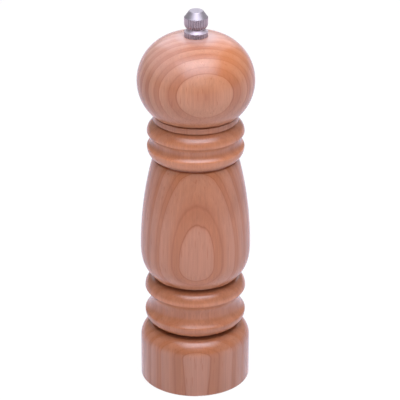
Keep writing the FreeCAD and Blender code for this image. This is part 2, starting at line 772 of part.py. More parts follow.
# Ceramic cone with slanted flutes above and slanted teeth below, with a six-sided bore
def make_grinding_cone():
    body = new_body("grinding_cone")
    revolve(body, "cone", [
        ("0", "cone_base"),
        ("cone_radius", "cone_base"),
        ("cone_waist_radius", "cone_waist"),
        ("cone_top_radius", "cone_top"),
        ("0", "cone_top"),
    ])
    flute = new_sketch(body, "flute", "XY_Plane", "cone_top")
    draw_notch(flute, OUTER, "cone_top_radius", "cone_flute_depth", "cone_flute_width")
    outward = "(cone_waist_radius - cone_top_radius) / (cone_top - cone_waist)"
    flutes = pocket(body, "flute", flute, "cone_top - cone_waist", (outward, "cone_flute_slant", "-1"))
    ring_pattern(body, "flutes", flutes, "cone_flutes")
    tooth = new_sketch(body, "tooth", "XY_Plane", "cone_base")
    draw_notch(tooth, OUTER, "cone_radius", "cone_tooth_depth", "cone_tooth_width")
    teeth = pocket(body, "tooth", tooth, "cone_band_height", ("-cone_slope", "-cone_tooth_slant", "1"))
    ring_pattern(body, "teeth", teeth, "cone_teeth")
    bore = new_sketch(body, "bore", "XY_Plane", "cone_base")
    draw_hexagon(bore, "hub_flats + 2 * part_gap")
    pocket(body, "bore", bore, "cone_height")


# Moulded hub of the cone, six-sided outside and square inside
def make_cone_hub():
    body = make_square_holed("cone_hub", "hub_flange_radius", "hub_base", "hub_flange")
    stem = new_sketch(body, "stem", "XY_Plane", "cone_base")
    draw_hexagon(stem, "hub_flats")
    draw_square(stem, "square_hole")
    pad(body, "stem", stem, "hub_top - cone_base")


# Plain washer under the hub
def make_hub_washer():
    body = new_body("hub_washer")
    section = new_sketch(body, "washer", "XY_Plane", "clip_top")
    draw_circle(section, "hub_washer_radius")
    draw_circle(section, "shaft_end_radius + shaft_clearance")
    pad(body, "washer", section, "hub_washer_thickness")


# Open ring: a flat washer with a mouth cut through one side
def make_open_ring(label, base, thickness, outer, inner, mouth):
    body = new_body(label)
    section = new_sketch(body, "ring", "XY_Plane", base)
    draw_circle(section, outer)
    draw_circle(section, inner)
    pad(body, "ring", section, thickness)
    gap = new_sketch(body, "mouth", "XY_Plane", base)
    draw_rectangle(gap, "0", f"{outer} + {thickness}", f"{mouth} / 2")
    pocket(body, "mouth", gap, thickness)


def screw(name, circle, angle, head_base):
    """One slotted screw, head down, at an angle around the mill's axis."""
    head = doc.addObject("Part::Cylinder", f"{name}_head")
    head.setExpression("Radius", bound("screw_head_radius"))
    head.setExpression("Height", bound("screw_head_height"))
    shank = doc.addObject("Part::Cylinder", f"{name}_shank")
    shank.setExpression("Radius", bound("screw_radius"))
    shank.setExpression("Height", bound("screw_head_height + screw_length"))
    slot = doc.addObject("Part::Box", f"{name}_slot")
    slot.setExpression("Length", bound("2 * (screw_head_radius + screw_slot_width)"))
    slot.setExpression("Width", bound("screw_slot_width"))
    slot.setExpression("Height", bound("screw_slot_depth"))
    slot.setExpression("Placement.Base.x", bound("-(screw_head_radius + screw_slot_width)"))
    slot.setExpression("Placement.Base.y", bound("-screw_slot_width / 2"))
    blank = doc.addObject("Part::Fuse", f"{name}_blank")
    blank.Base = head
    blank.Tool = shank
    finished = doc.addObject("Part::Cut", name)
    finished.Base = blank
    finished.Tool = slot
    finished.setExpression("Placement.Base.x", bound(f"{circle} * cos({angle})"))
    finished.setExpression("Placement.Base.y", bound(f"{circle} * sin({angle})"))
    finished.setExpression("Placement.Base.z", bound(head_base))
    return finished


def make_screws(label, circle, count, head_base):
    """A set of equal screws on a circle, kept as one group."""
    total = int(value(count))
    group = doc.addObject("Part::Compound", label)
    group.Label = label
    group.Links = [
        screw(f"{label}_{index}", circle, f"{index} * {FULL_TURN} / {count}", head_base)
        for index in range(total)
    ]
    doc.recompute()


def helix_point(turn):
    """A point of the spring's wire and its direction, by turns from the lower end."""
    angle = turn * 2 * math.pi
    radius = value("spring_radius")
    low = value("lower_washer_top + spring_wire / 2 + spring_seat_gap")
    high = value("upper_washer_base - spring_wire / 2 - spring_seat_gap")
    pitch = (high - low) / value("spring_turns")
    point = FreeCAD.Vector(radius * math.cos(angle), radius * math.sin(angle), low + pitch * turn)
    climb = pitch / (2 * math.pi)
    heading = FreeCAD.Vector(-radius * math.sin(angle), radius * math.cos(angle), climb)
    return point, heading.normalize()


def tangent_arc(start, control, finish):
    """The arc from start to finish whose end tangents meet at the control point."""
    weight = (finish - start).Length / (2 * (control - start).Length)
    middle = (start + finish + control * 2 * weight) / (2 + 2 * weight)
    return Part.Arc(start, middle, finish).toShape()


def quarter_turn(first_turn, last_turn):
    """Two arcs that follow the helix between two turns and share its directions there."""
    start, leave = helix_point(first_turn)
    finish, arrive = helix_point(last_turn)
    chord = finish - start
    spread = leave + arrive
    square = spread.dot(spread) - 4
    linear = -2 * chord.dot(spread)
    reach = (-linear - math.sqrt(linear ** 2 - 4 * square * chord.dot(chord))) / (2 * square)
    first_control = start + leave * reach
    last_control = finish - arrive * reach
    joint = (first_control + last_control) / 2
    return [tangent_arc(start, first_control, joint), tangent_arc(joint, last_control, finish)]


# Compression spring: one unbroken wire around the shaft
def make_spring():
    turns = int(value("spring_turns"))
    edges = []
    for index in range(turns * QUARTERS):
        edges += quarter_turn(index / QUARTERS, (index + 1) / QUARTERS)
    path = Part.Wire(edges)
    start, heading = helix_point(0)
    section = Part.Wire(Part.makeCircle(value("spring_wire") / 2, start, heading))
    wire = path.makePipeShell([section], True, False)
    spring = doc.addObject("Part::Feature", "spring")
    spring.Label = "spring"
    spring.Shape = wire
    spring.Placement = FreeCAD.Placement()
    per_turn = 24
    samples = [helix_point(step / per_turn)[0] for step in range(per_turn * turns + 1)]
    apart = per_turn // 2
    gaps = [
        (samples[low] - samples[high]).Length - value("spring_wire")
        for low in range(len(samples)) for high in range(low + apart, len(samples))
    ]
    print("spring: least gap between turns", round(min(gaps), 3), "mm, volume", round(wire.Volume, 2),
          "of section times length", round(path.Length * math.pi * value("spring_wire / 2") ** 2, 2))


make_body()
make_head()
make_head_bush()
make_adjusting_nut()
make_drive_shaft()
make_drive_plate()
make_screws("drive_plate_screws", "plate_screw_circle", "plate_screw_count", "plate_base - screw_head_height")
make_grinder_housing()
make_screws("housing_screws", "housing_screw_circle", "housing_screw_count", "foot_recess + running_gap")
make_shaft_bridge()
make_guide_bush()
make_grinding_ring()
make_open_ring("snap_ring", "snap_base + part_gap / 2", "snap_thickness",
               "ring_bore + snap_groove_depth - part_gap", "snap_inner_radius", "snap_mouth")
make_grinding_cone()
make_cone_hub()
make_square_holed("upper_spring_washer", "spring_washer_radius", "upper_washer_base",
                  "spring_washer_thickness")
make_square_holed("lower_spring_washer", "spring_washer_radius", "hub_top", "spring_washer_thickness")
make_spring()
make_hub_washer()
make_open_ring("shaft_clip", "clip_base", "clip_thickness", "clip_radius",
               "clip_groove_radius + shaft_clearance", "clip_mouth")
doc.recompute()

# Every object has to be sound before anything is written
NODES = ("PartDesign::Body", "Part::Compound", "Part::Feature")
pieces = [item for item in doc.Objects if item.TypeId in NODES]
for item in doc.Objects:
    if "Invalid" in item.State or "Error" in item.State:
        raise RuntimeError(f"{item.Name} failed: {item.State}")
for piece in pieces:
    if piece.Shape.isNull() or not piece.Shape.isValid():
        raise RuntimeError(f"{piece.Label} has no sound shape")

os.makedirs("parts", exist_ok=True)
for piece in pieces:
    piece.Shape.exportStep(f"parts/{piece.Label}.step")
    print(piece.Label, len(piece.Shape.Solids), "solids,", round(piece.Shape.Volume, 1), "mm3")
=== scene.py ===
# %% [markdown]
# A turned wooden pepper mill, dressed for its portrait.
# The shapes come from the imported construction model. Every piece is already where it belongs, in metres:
# the mill stands on the floor at the origin, and its turning axis runs up along Z. The shapes could be
# modelled here again, but with one set of shapes the picture and the moving model stay alike. So this
# lesson adds only what the model lacks: timber, lacquer, metals, light and a camera.

# %% Load the construction model
import json
from math import pi, radians

import bpy
import numpy as np
from mathutils import Matrix, Vector

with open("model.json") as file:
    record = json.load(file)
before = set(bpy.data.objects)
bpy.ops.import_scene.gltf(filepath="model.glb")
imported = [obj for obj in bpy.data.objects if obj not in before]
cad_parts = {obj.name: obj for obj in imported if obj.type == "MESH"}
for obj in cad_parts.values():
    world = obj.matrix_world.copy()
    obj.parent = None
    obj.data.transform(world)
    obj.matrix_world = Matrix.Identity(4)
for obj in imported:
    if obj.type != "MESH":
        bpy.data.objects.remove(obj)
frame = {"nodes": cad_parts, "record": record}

scene = bpy.context.scene
nodes = frame["nodes"]
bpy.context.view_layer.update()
print("pieces loaded:", len(nodes))

# %% [markdown]
# Several pieces of the mill share a finish: all its screws are zinc plated, and both halves of the burr
# are fired ceramic. The model's record names the finish of each piece. Materials could be put on the
# pieces one by one, but a table from finish to pieces is shorter, and no piece is forgotten.

# %% Which piece takes which finish
pieces_of = {}
for entry in frame["record"]["subparts"]:
    pieces_of.setdefault(entry["material_slot"], []).append(entry["node"])
for finish, names in pieces_of.items():
    print(finish, "->", ", ".join(names))


def lay_finish(finish, material):
    """Puts one material on every piece of a finish, through the slots the pieces already have."""
    for name in pieces_of[finish]:
        for place in nodes[name].material_slots:
            place.material = material


# %% [markdown]
# A material is a graph of nodes with links between them. It could be drawn by hand in the shader editor.
# Built in code, every value is in plain sight, and small helpers keep that code short: one adds a node
# and sets its values, one feeds a socket, one does a step of arithmetic, one mixes colours, and one is a
# ramp of grey levels.

# %% Helpers for node graphs
def add_node(tree, kind, **values):
    """Adds a node. Keywords set its properties, and its input sockets, with spaces as underscores."""
    node = tree.nodes.new(kind)
    for key, value in values.items():
        if hasattr(node, key):
            setattr(node, key, value)
        else:
            node.inputs[key.replace("_", " ")].default_value = value
    return node


def feed(tree, socket, value):
    """Feeds an input socket with a link from another socket, or with a plain value."""
    if isinstance(value, bpy.types.NodeSocket):
        tree.links.new(value, socket)
    else:
        socket.default_value = value


def calculate(tree, operation, first, second=0.0):
    """One step of arithmetic on two numbers or sockets. The result is an output socket."""
    node = add_node(tree, "ShaderNodeMath", operation=operation)
    feed(tree, node.inputs[0], first)
    feed(tree, node.inputs[1], second)
    return node.outputs[0]


def mix_colours(tree, amount, first, second, blend="MIX"):
    """Mixes two colours, each a socket or four numbers, by an amount from 0 to 1."""
    node = add_node(tree, "ShaderNodeMix", data_type="RGBA", blend_type=blend)
    for index, value in ((0, amount), (6, first), (7, second)):
        feed(tree, node.inputs[index], value)
    return node.outputs[2]


def ramp(tree, factor, stops):
    """A ramp of grey levels along a factor. Its stops are pairs of position and level."""
    node = tree.nodes.new("ShaderNodeValToRGB")
    marks = node.color_ramp.elements
    while len(marks) < len(stops):
        marks.new(0.5)
    for mark, (position, level) in zip(marks, stops):
        mark.position = position
        mark.color = (level, level, level, 1)
    tree.links.new(factor, node.inputs[0])
    return node.outputs[0]


print("helpers ready: add_node, feed, calculate, mix_colours, ramp")

# %% [markdown]
# Wood, metal and plastic all need noise, and noise that is stretched along one axis turns into fibres or
# tool marks. It is measured in cycles per metre, so that a fibre keeps its true size. What several
# materials use is best kept in a node group: it is built once and placed in each material with its own
# values.

# %% Helpers for noise, distances and groups
def stretched_noise(tree, vector, cycles, detail=2.0, roughness=0.5):
    """Noise with its own number of cycles per metre along each axis."""
    scaled = add_node(tree, "ShaderNodeVectorMath", operation="MULTIPLY")
    feed(tree, scaled.inputs[0], vector)
    feed(tree, scaled.inputs[1], cycles)
    noise = add_node(tree, "ShaderNodeTexNoise", Scale=1.0, Detail=detail, Roughness=roughness)
    tree.links.new(scaled.outputs[0], noise.inputs["Vector"])
    return noise.outputs[0]


def distance_from_axis(tree, vector):
    """The distance of a point from the Z axis: the length of its coordinates with Z left out."""
    across = add_node(tree, "ShaderNodeVectorMath", operation="MULTIPLY")
    feed(tree, across.inputs[0], vector)
    feed(tree, across.inputs[1], (1, 1, 0))
    length = add_node(tree, "ShaderNodeVectorMath", operation="LENGTH")
    tree.links.new(across.outputs[0], length.inputs[0])
    return length.outputs["Value"]


def new_group(name, inputs, outputs):
    """An empty shader group. inputs and outputs list (socket name, kind, default)."""
    group = bpy.data.node_groups.new(name, "ShaderNodeTree")
    for in_out, rows in (("INPUT", inputs), ("OUTPUT", outputs)):
        for title, kind, default in rows:
            socket = group.interface.new_socket(title, in_out=in_out, socket_type="NodeSocket" + kind)
            if default is not None:
                socket.default_value = default
    return group, group.nodes.new("NodeGroupInput").outputs, group.nodes.new("NodeGroupOutput").inputs


print("helpers ready: stretched_noise, distance_from_axis, new_group")

# %% [markdown]
# The mill is turned from flat-sawn timber, so its walls cut through the tree's growth rings at a slant,
# and the rings show as nested ovals and arches on the belly and the head. Such ovals could be drawn on
# the surface, but they would not agree with the grain on the sides. The truer way is to model the log:
# every point of the mill has a distance from the middle of the trunk, the pith, and the year it grew in
# follows from that distance. The group takes coordinates measured from the pith, with Z along the trunk,
# and slow noise lets the rings wander. Apart from the kind of timber, its inputs lay overlays on the
# wood: some are tones of the wood, and some are painted shade and painted highlights. Each overlay has a
# colour that is either mixed in or multiplied with the wood.

# %% The log: in which year a point grew
TONES_AND_PAINTED_LIGHT = {
    "Blush": ("MIX", (0.52, 0.172, 0.06, 1)),
    # around the nut this pale mix is a painted sheen, a whitish reflection; on the left and at the back
    # the crown is paler
    "Pale And Sheen": ("MIX", (0.49, 0.285, 0.235, 1)),
    # darker and cooler towards the foot's bottom
    "Fade": ("MULTIPLY", (0.9, 0.96, 1.04, 1)),
    # painted shade: dims the foot's shoulder and the upper belly
    "Band Shade": ("MULTIPLY", (0.9, 0.85, 0.78, 1)),
    # painted highlight: lightens the crests of the beads
    "Crest Highlight": ("MULTIPLY", (1.26, 1.3, 1.28, 1)),
    # painted shade: near black in the grooves and in the seam under the head
    "Groove Shade": ("MIX", (0.05, 0.012, 0.005, 1)),
}
SWAY_CYCLES = (21, 21, 7)
RIPPLE_CYCLES, RIPPLE_SHARE = (190, 190, 22), 0.22

log_group, log_in, log_out = new_group(
    "log_of_timber",
    [
        ("Vector", "Vector", None),
        ("First Ring", "Float", 0.117),
        ("Ring Width", "Float", 0.0049),
        ("Wander", "Float", 0.0016),
        ("Season Curve", "Float", 1.0),
        ("Pale", "Color", (0.5, 0.22, 0.15, 1)),
        ("Reddish", "Color", (0.39, 0.135, 0.077, 1)),
        ("Line", "Color", (0.33, 0.105, 0.058, 1)),
        ("Side Contrast", "Float", 0.5),
        ("Even Tone", "Float", 0.7),
        ("Evenness", "Float", 0.0),
    ]
    + [(overlay, "Float", 0.0) for overlay in TONES_AND_PAINTED_LIGHT],
    [("Color", "Color", None), ("Height", "Float", None), ("Dullness", "Float", None)],
)
tree, in_log = log_group, log_in["Vector"]
sway = calculate(tree, "SUBTRACT", stretched_noise(tree, in_log, SWAY_CYCLES), 0.5)
ripple = calculate(tree, "SUBTRACT", stretched_noise(tree, in_log, RIPPLE_CYCLES, 3), 0.5)
bend = calculate(tree, "ADD", sway, calculate(tree, "MULTIPLY", ripple, RIPPLE_SHARE))
wander = calculate(tree, "MULTIPLY", bend, log_in["Wander"])
distance = calculate(tree, "ADD", distance_from_axis(tree, in_log), wander)
inward = calculate(tree, "SUBTRACT", log_in["First Ring"], distance)
age = calculate(tree, "DIVIDE", inward, log_in["Ring Width"])
season = calculate(tree, "POWER", calculate(tree, "FRACT", age), log_in["Season Curve"])
print("log group, year and season:", len(tree.nodes), "nodes")

# %% [markdown]
# Seen from the outer ring inwards, each year starts with a fine dark line, stays reddish for a third,
# has a second, fainter line there, and pales towards the next. A wave texture would make both halves of a
# year alike, so two ramps along the season draw its true course. Side Contrast says how much the inner
# years differ, which come out at the mill's sides. Evenness draws the tones of a year together towards
# Even Tone, as on the turned beads, where the rings hardly show. No two years are quite alike, so every
# year has its own mood, and soft clouds lie over all of them.

# %% The log: tones within a year
LATE_WOOD = [
    (0, 0.95), (0.03, 0.85), (0.33, 0.8), (0.42, 0.62),
    (0.62, 0.12), (0.9, 0), (0.975, 0.25), (1, 0.95),
]
YEAR_LINES = [(0, 0.9), (0.035, 0.15), (0.06, 0), (0.33, 0), (0.37, 0.5), (0.43, 0), (0.985, 0), (1, 0.9)]
FRONT_AGE, SIDE_AGE = 1.2, 4.5
MIDDLE_TONE = 0.42
MOOD_SHARE = 0.16
CLOUD_CYCLES, CLOUD_SHARE = (60, 60, 18), 0.5


def drawn_to(tree, value, middle, share):
    """Draws a value towards a middle: only a share of the difference between them is left."""
    difference = calculate(tree, "SUBTRACT", value, middle)
    return calculate(tree, "ADD", calculate(tree, "MULTIPLY", difference, share), middle)


strength = add_node(tree, "ShaderNodeMapRange", From_Min=FRONT_AGE, From_Max=SIDE_AGE, To_Min=1.0)
feed(tree, strength.inputs["Value"], age)
feed(tree, strength.inputs["To Max"], log_in["Side Contrast"])
uneven = calculate(tree, "SUBTRACT", 1.0, log_in["Evenness"])
late = drawn_to(tree, ramp(tree, season, LATE_WOOD), MIDDLE_TONE, strength.outputs[0])
late = drawn_to(tree, late, log_in["Even Tone"], uneven)
lines = calculate(tree, "MULTIPLY", ramp(tree, season, YEAR_LINES), strength.outputs[0])
lines = calculate(tree, "MULTIPLY", lines, uneven)
year = add_node(tree, "ShaderNodeTexWhiteNoise", noise_dimensions="1D")
feed(tree, year.inputs["W"], calculate(tree, "FLOOR", age))
mood = calculate(tree, "SUBTRACT", year.outputs["Value"], 0.5)
mood = calculate(tree, "MULTIPLY", mood, MOOD_SHARE)
cloud = calculate(tree, "SUBTRACT", stretched_noise(tree, in_log, CLOUD_CYCLES), 0.5)
cloud = calculate(tree, "MULTIPLY", cloud, CLOUD_SHARE)
tone = add_node(tree, "ShaderNodeClamp")
feed(tree, tone.inputs[0], calculate(tree, "ADD", late, calculate(tree, "ADD", mood, cloud)))
wood = mix_colours(tree, tone.outputs[0], log_in["Pale"], log_in["Reddish"])
wood = mix_colours(tree, lines, wood, log_in["Line"])
print("log group, tones:", len(tree.nodes), "nodes")

# %% [markdown]
# Close up, wood is a bundle of fibres. Fine fibres and longer streaks shade it, and the cut ends of its
# vessels are small dark pores. They are too many to model one by one, so all three are noise that is
# stretched along the trunk. The fibres also make the surface a little uneven and change how dull it is,
# so the group puts out a height and a dullness beside the colour. The overlays, tones and painted light,
# come last, because they lie on top of the grain.

# %% The log: fibres, pores, tones and painted light
FIBRE_CYCLES, FIBRE_SHADES = (1500, 1500, 45), [(0.25, 0.84), (0.75, 1.0)]
STREAK_CYCLES, STREAK_SHADES = (520, 520, 9), [(0.3, 0.9), (0.7, 1.06)]
VESSEL_CYCLES, VESSEL_PORES = (1150, 1150, 95), [(0.67, 0), (0.74, 0.45)]
FIBRE_DULLNESS = [(0, 0.4), (1, 0.52)]

fibre = stretched_noise(tree, in_log, FIBRE_CYCLES, 3, 0.6)
streak = stretched_noise(tree, in_log, STREAK_CYCLES, 3, 0.65)
pores = ramp(tree, stretched_noise(tree, in_log, VESSEL_CYCLES, 1, 0.4), VESSEL_PORES)
wood = mix_colours(tree, 1.0, wood, ramp(tree, fibre, FIBRE_SHADES), "MULTIPLY")
wood = mix_colours(tree, 1.0, wood, ramp(tree, streak, STREAK_SHADES), "MULTIPLY")
wood = mix_colours(tree, pores, wood, log_in["Line"])
for overlay, (blend, colour) in TONES_AND_PAINTED_LIGHT.items():
    wood = mix_colours(tree, log_in[overlay], wood, colour, blend)
tree.links.new(wood, log_out["Color"])
tree.links.new(calculate(tree, "SUBTRACT", fibre, pores), log_out["Height"])
tree.links.new(ramp(tree, fibre, FIBRE_DULLNESS), log_out["Dullness"])
print("log group, complete:", len(tree.nodes), "nodes")

# %% [markdown]
# Body and head are turned from two different blanks, so each has its own timber: the head's rings show
# clearly all around, the body's mostly in front. The overlays follow the turned form, so they can be
# told by height alone. Painted shade darkens the grooves and the seam under the head, painted highlights
# lighten the crests of the beads, the tones are more even on the beads than on the walls, and painted
# shade dims the foot's shoulder and the upper belly. This could be painted by hand, but a few numbers up
# the mill do it, and they are easy to correct. A stripe is (height, half width, most), and a band is
# (base, top, soft edge, most).

# %% Timber, tones and painted light of body and head
BODY_TIMBER = {
    "First Ring": 0.1171,
    "Season Curve": 0.7,
    "Side Contrast": 0.5,
    "Even Tone": 0.7,
    "Pale": (0.515, 0.212, 0.121, 1),
    "Reddish": (0.46, 0.152, 0.062, 1),
    "Line": (0.33, 0.093, 0.037, 1),
}
HEAD_TIMBER = {
    "First Ring": 0.1168,
    "Side Contrast": 1.2,
    "Even Tone": 0.3,
    "Pale": (0.551, 0.233, 0.127, 1),
    "Reddish": (0.439, 0.146, 0.066, 1),
    "Line": (0.33, 0.093, 0.038, 1),
}
BODY_STRIPES = {
    # painted shade in the grooves and in the seam under the head
    "Groove Shade": [
        (0.0315, 0.0007, 0.7),
        (0.0586, 0.0008, 0.6),
        (0.1254, 0.0007, 0.1),
        (0.1450, 0.0006, 0.1),
        (0.1489, 0.0004, 0.8),
    ],
    # painted highlight on the crests of the beads
    "Crest Highlight": [(0.0519, 0.0016, 0.7), (0.1298, 0.0030, 1.0), (0.1386, 0.0042, 0.55)],
}
# painted shade in the seam at the head's lower edge
HEAD_STRIPES = {"Groove Shade": [(0.1497, 0.0005, 0.8)]}
BODY_BANDS = {
    "Evenness": [(0.025, 0.0315, 0.001, 0.4), (0.032, 0.0585, 0.001, 0.75), (0.126, 0.1489, 0.001, 0.75)],
    # painted shade on the foot's shoulder and the upper belly
    "Band Shade": [(0.0235, 0.0325, 0.0025, 0.45), (0.1, 0.12, 0.0065, 1.0)],
}
HEAD_BANDS = {"Evenness": [(0.14, 0.161, 0.007, 0.7)]}
for piece, stripes, bands in (("body", BODY_STRIPES, BODY_BANDS), ("head", HEAD_STRIPES, HEAD_BANDS)):
    print(piece, "stripes:", sum(map(len, stripes.values())), "bands:", sum(map(len, bands.values())))

# %% [markdown]
# A stripe or band is a mask, a number from 0 to 1 at each point. Stripes are the stops of one ramp along
# the mill's height. Bands rise and fall softly, and where two of them overlap, the stronger one counts.
# The crown has four patches of its own: it is more orange on the right, and paler on the left and at
# the back, and around the nut a painted sheen lies on it, a whitish reflection. The foot is a little
# darker and cooler towards its bottom.

# %% Masks up the mill
RAMP_REACH = 0.21
CROWN = (0.168, 0.184)
BLUSHED_RIGHT = (0.002, 0.018, 0.6)
PALE_LEFT = (0.004, -0.018, 0.5)
# painted sheen: a whitish reflection on the crown around the nut
SHEEN_BY_NUT = (0.0155, 0.0065, 0.85)
PALE_BEHIND = (-0.006, 0.006, 0.6)
# the foot turns a little darker and cooler below this height
DARKER_FOOT = (0.027, 0.02)


def eased(tree, value, start, end, most=1.0):
    """Rises smoothly from 0 to its most while a value goes from start to end."""
    node = add_node(tree, "ShaderNodeMapRange", interpolation_type="SMOOTHSTEP", To_Max=most)
    feed(tree, node.inputs["Value"], value)
    feed(tree, node.inputs["From Min"], start)
    feed(tree, node.inputs["From Max"], end)
    return node.outputs[0]


def stripe_mask(tree, height, stripes):
    """Each stripe is full over the inner half of its width and fades out to its edges."""
    stops = [(0, 0)]
    for middle, half, most in stripes:
        for step, share in ((-1, 0), (-0.5, 1), (0.5, 1), (1, 0)):
            stops.append(((middle + half * step) / RAMP_REACH, most * share))
    stops.append((1, 0))
    return ramp(tree, calculate(tree, "MULTIPLY", height, 1 / RAMP_REACH), stops)


def band_mask(tree, height, bands):
    """Each band is the lesser of a rise at its base and a fall at its top. The strongest band counts."""
    mask = 0.0
    for base, top, edge, most in bands:
        above = eased(tree, height, base - edge, base + edge, most)
        under = eased(tree, height, top + edge, top - edge, most)
        mask = calculate(tree, "MAXIMUM", mask, calculate(tree, "MINIMUM", above, under))
    return mask


def crown_masks(tree, coords, x, y, z):
    """Where the crown is more orange, and where it is paler and, around the nut, has a painted sheen. Both
    end below it.
    """
    high = eased(tree, z, *CROWN)
    pale = calculate(tree, "MAXIMUM", eased(tree, x, *PALE_LEFT), eased(tree, y, *PALE_BEHIND))
    pale = calculate(tree, "MAXIMUM", pale, eased(tree, distance_from_axis(tree, coords), *SHEEN_BY_NUT))
    blushed = calculate(tree, "MULTIPLY", high, eased(tree, x, *BLUSHED_RIGHT))
    return blushed, calculate(tree, "MULTIPLY", high, pale)


print("crown starts at", CROWN[0], "m, darker foot ends at", DARKER_FOOT[0], "m")

# %% [markdown]
# A satin lacquer lies over the wood. A second shell of clear material could stand for it, but the
# Principled shader has a coat for that: a clear layer with a gloss of its own, while the wood below it
# stays dull. A Mapping node moves the mill's coordinates into the log. The body's trunk stands upright,
# 90 mm behind the mill. The head's trunk is turned a little and tipped back, which moves the ovals on the
# ball down and to one side.

# %% Lacquered wood
PITH_BEHIND = 0.09
GRAIN_BUMP, GRAIN_DEPTH = 0.12, 0.0002


def new_material(name, **values):
    """A material with one Principled shader. Keywords set its sockets, spaces as underscores."""
    material = bpy.data.materials.new(name)
    material.use_nodes = True
    shader = material.node_tree.nodes["Principled BSDF"]
    for key, value in values.items():
        shader.inputs[key.replace("_", " ")].default_value = value
    return material, material.node_tree, shader


def roughen(tree, shader, height, strength, depth):
    """Gives a shader's surface a fine relief from a height."""
    bump = add_node(tree, "ShaderNodeBump", Strength=strength, Distance=depth)
    tree.links.new(height, bump.inputs["Height"])
    tree.links.new(bump.outputs[0], shader.inputs["Normal"])


def lacquered_wood(name, turn, centre, lean, timber, stripes, bands):
    """Timber from the log under a coat of lacquer. The blank is turned by a matrix about its centre, and
    lean moves it sideways in the log."""
    material, tree, shader = new_material(
        name, Specular_IOR_Level=0.0, Coat_Weight=1.0, Coat_Roughness=0.22, Coat_IOR=1.5
    )
    coords = tree.nodes.new("ShaderNodeTexCoord").outputs["Object"]
    split = tree.nodes.new("ShaderNodeSeparateXYZ")
    tree.links.new(coords, split.inputs[0])
    x, y, z = split.outputs
    place = Vector((lean, -PITH_BEHIND, 0)) - turn @ centre
    mapping = add_node(tree, "ShaderNodeMapping", Location=place, Rotation=turn.to_euler("XYZ"))
    tree.links.new(coords, mapping.inputs["Vector"])
    blushed, pale = crown_masks(tree, coords, x, y, z)
    # the pale mask holds the painted sheen around the nut, and the stripes and bands hold the painted
    # shade and highlights
    overlay_masks = {"Blush": blushed, "Pale And Sheen": pale, "Fade": eased(tree, z, *DARKER_FOOT)}
    overlay_masks.update({title: stripe_mask(tree, z, rows) for title, rows in stripes.items()})
    overlay_masks.update({title: band_mask(tree, z, rows) for title, rows in bands.items()})
    log = add_node(tree, "ShaderNodeGroup", node_tree=log_group)
    tree.links.new(mapping.outputs[0], log.inputs["Vector"])
    for title, value in {**timber, **overlay_masks}.items():
        feed(tree, log.inputs[title], value)
    tree.links.new(log.outputs["Color"], shader.inputs["Base Color"])
    tree.links.new(log.outputs["Dullness"], shader.inputs["Roughness"])
    roughen(tree, shader, log.outputs["Height"], GRAIN_BUMP, GRAIN_DEPTH)
    print(name, "nodes:", len(tree.nodes))
    return material


upright = Matrix.Rotation(radians(0.6), 3, "X")
tipped = Matrix.Rotation(radians(6), 3, "X") @ Matrix.Rotation(radians(-10), 3, "Z")
body_blank = (upright, Vector((0, 0, 0.075)), 0.003)
head_blank = (tipped, Vector((0, 0, 0.1665)), 0.0)
lay_finish("body_wood", lacquered_wood("body_wood", *body_blank, BODY_TIMBER, BODY_STRIPES, BODY_BANDS))
lay_finish("head_wood", lacquered_wood("head_wood", *head_blank, HEAD_TIMBER, HEAD_STRIPES, HEAD_BANDS))

# %% [markdown]
# Drawn metal is covered with fine parallel marks, turned metal with fine rings, and stamped metal with
# short scratches all over. Each could be a texture of its own, but all are noise that is stretched in
# one direction, so one group serves all the metals. Its Stretch input says how many marks there are per
# metre along each axis, and small numbers give long marks. Blotches that are a few millimetres wide
# tarnish the metal here and there.

# %% Tool marks for the metals
MARKS_SHARE = 0.6
BLOTCH_CYCLES = (260, 260, 260)
LEAST_WEAR, MOST_WEAR = 0.3, 0.7
TARNISHED = [(0.35, 0), (0.75, 1)]

marks_group, marks_in, marks_out = new_group(
    "tool_marks",
    [
        ("Vector", "Vector", None),
        ("Stretch", "Vector", (300, 300, 4000)),
        ("Bright", "Float", 0.22),
        ("Dull", "Float", 0.35),
    ],
    [("Roughness", "Float", None), ("Height", "Float", None), ("Tarnish", "Float", None)],
)
tree = marks_group
marks = stretched_noise(tree, marks_in["Vector"], marks_in["Stretch"], 3, 0.6)
blotches = stretched_noise(tree, marks_in["Vector"], BLOTCH_CYCLES, 3, 0.6)
fine_wear = calculate(tree, "MULTIPLY", marks, MARKS_SHARE)
broad_wear = calculate(tree, "MULTIPLY", blotches, 1 - MARKS_SHARE)
spread = add_node(tree, "ShaderNodeMapRange", From_Min=LEAST_WEAR, From_Max=MOST_WEAR)
feed(tree, spread.inputs["Value"], calculate(tree, "ADD", fine_wear, broad_wear))
feed(tree, spread.inputs["To Min"], marks_in["Bright"])
feed(tree, spread.inputs["To Max"], marks_in["Dull"])
tree.links.new(spread.outputs[0], marks_out["Roughness"])
tree.links.new(marks, marks_out["Height"])
tree.links.new(ramp(tree, blotches, TARNISHED), marks_out["Tarnish"])
print("tool mark group:", len(tree.nodes), "nodes")

# %% [markdown]
# Six metals follow from the group: the plated nut, the turned brass bush, the drawn shaft, the stamped
# plate and washers, the zinc-plated screws and the hard bright wire of spring, clip and ring. Each is a
# row of a table: its clean and its tarnished colour, the run of its tool marks, its least and its most
# roughness, and the depth of the marks. A table is easier to compare and correct than six blocks of
# code.

